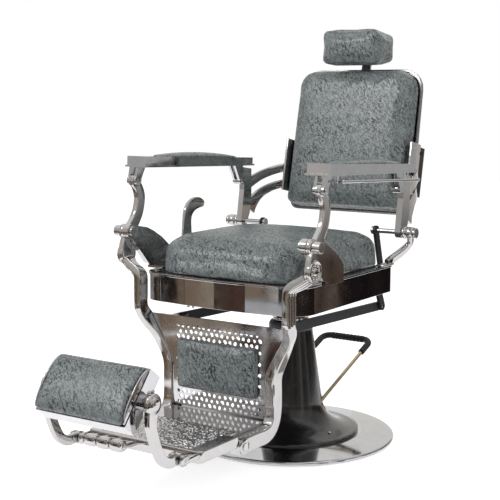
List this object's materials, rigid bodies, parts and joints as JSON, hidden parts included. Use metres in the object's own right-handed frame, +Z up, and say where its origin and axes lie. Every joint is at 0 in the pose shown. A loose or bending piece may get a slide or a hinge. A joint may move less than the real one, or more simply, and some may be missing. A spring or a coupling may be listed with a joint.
{
  "type": "barber chair",
  "caption": "Upholstered barber chair: round pump base, linked reclining back and leg frame, flip-over leg rest, padded armrests and a sliding headrest.",
  "frame": {"origin": "centre of the round base on the floor", "axes": "+Z up, -Y towards the front (the way the sitter faces), +X to the sitter's left"},
  "size_m": [0.6606, 1.3634, 1.1823],
  "materials": {
    "chrome": "mirror-polished chrome plate",
    "rod_chrome": "polished plate with a warm brass tint",
    "leather": "worn blue-grey leather, satin, crackled",
    "rubber": "matt black rubber",
    "black_steel": "satin black paint",
    "cover_paint": "gloss near-black enamel",
    "cap_grey": "satin dark grey plastic",
    "plywood": "plain plywood",
    "shell_metal": "dark polished metal edge"
  },
  "bodies": {
    "base": {"base_disc": "chrome", "base_ring": "rubber", "pump_cylinder": "black_steel", "pump_bolts": "chrome", "column_cover": "cover_paint", "column_cap": "cap_grey", "cover_screws": "chrome", "lever_axle": "chrome"},
    "pump_lever": {"pump_lever": "rod_chrome", "pump_grip": "rubber"},
    "ram": {"ram": "chrome"},
    "seat": {"swivel_hub": "black_steel", "seat_spider": "black_steel", "seat_board": "plywood", "seat_apron": "chrome", "apron_pins": "chrome", "seat_cushion": "leather", "front_bracket_left": "chrome", "front_bracket_right": "chrome", "rear_bracket_left": "chrome", "rear_bracket_right": "chrome", "front_pins": "chrome", "lever_bracket": "chrome"},
    "recline_lever": {"recline_lever": "chrome"},
    "leg_frame": {"side_iron_left": "chrome", "side_iron_right": "chrome", "leg_panel": "chrome", "panel_rail": "chrome", "calf_pad": "leather", "foot_plate": "chrome", "tread_plate": "chrome", "foot_bolts": "chrome", "hinge_rod": "chrome"},
    "yoke": {"yoke_arm_left": "chrome", "yoke_arm_right": "chrome", "yoke_axle": "chrome"},
    "leg_pad": {"leg_rest_tray": "chrome", "leg_rest_cushion": "leather"},
    "back": {"back_shell": "shell_metal", "back_cushion": "leather", "back_strap_left": "chrome", "back_strap_right": "chrome", "back_arm_left": "chrome", "back_arm_right": "chrome", "back_mounts": "black_steel", "rear_pins": "chrome", "back_crank": "black_steel", "headrest_socket": "chrome"},
    "headrest": {"headrest_post": "chrome", "headrest_cushion": "leather"},
    "armrest_left": {"armrest_left": "chrome", "arm_pad_left": "leather", "arm_pins_left": "chrome", "towel_rail": "chrome"},
    "armrest_right": {"armrest_right": "chrome", "arm_pad_right": "leather", "arm_pins_right": "chrome"},
    "links": {"link_left": "black_steel", "link_right": "black_steel", "link_pins": "chrome"}
  },
  "joints": [
    {"name": "seat_lift", "type": "slide", "parent": "base", "child": "ram", "axis": [0, 0, 1], "range_m": [0, 0.15]},
    {"name": "seat_swivel", "type": "hinge", "parent": "ram", "child": "seat", "pos_m": [0, 0, 0], "axis": [0, 0, 1], "continuous": true},
    {"name": "pump_press", "type": "hinge", "parent": "base", "child": "pump_lever", "pos_m": [0, 0, 0.093], "axis": [-1, 0, 0], "range_deg": [0, 14], "stiffness_Nm_per_rad": 8, "springref_deg": -28.65},
    {"name": "recline", "type": "hinge", "parent": "seat", "child": "back", "pos_m": [0, 0.147, 0.6], "axis": [-1, 0, 0], "range_deg": [0, 25]},
    {"name": "leg_frame_swing", "type": "hinge", "parent": "seat", "child": "leg_frame", "pos_m": [0, -0.38, 0.618], "axis": [-1, 0, 0], "range_deg": [0, 25.5]},
    {"name": "link_swing", "type": "hinge", "parent": "back", "child": "links", "pos_m": [0, 0.236, 0.364], "axis": [-1, 0, 0], "range_deg": [-25.5, 0]},
    {"name": "armrest_left_level", "type": "hinge", "parent": "back", "child": "armrest_left", "pos_m": [0.3, 0.1275, 0.724], "axis": [-1, 0, 0], "range_deg": [-29, 0]},
    {"name": "armrest_right_level", "type": "hinge", "parent": "back", "child": "armrest_right", "pos_m": [-0.3, 0.1275, 0.724], "axis": [-1, 0, 0], "range_deg": [-29, 0]},
    {"name": "headrest_height", "type": "slide", "parent": "back", "child": "headrest", "axis": [0, 0.1994, 0.9799], "range_m": [0, 0.12]},
    {"name": "leg_rest_flip", "type": "hinge", "parent": "leg_frame", "child": "yoke", "pos_m": [0, -0.736, 0.152], "axis": [-1, 0, 0], "range_deg": [0, 60]},
    {"name": "leg_pad_tilt", "type": "hinge", "parent": "yoke", "child": "leg_pad", "pos_m": [0, -0.832, 0.304], "axis": [-1, 0, 0], "range_deg": [-40, 40]},
    {"name": "recline_lever_pull", "type": "hinge", "parent": "seat", "child": "recline_lever", "pos_m": [-0.268, -0.15, 0.468], "axis": [-1, 0, 0], "range_deg": [0, 18], "stiffness_Nm_per_rad": 2, "springref_deg": -20.05}
  ],
  "couplings": [
    {"joint": "leg_frame_swing", "follows": "recline", "ratio": 1},
    {"joint": "link_swing", "follows": "recline", "ratio": -1},
    {"joint": "armrest_left_level", "follows": "recline", "ratio": -1.131},
    {"joint": "armrest_right_level", "follows": "recline", "ratio": -1.131}
  ]
}
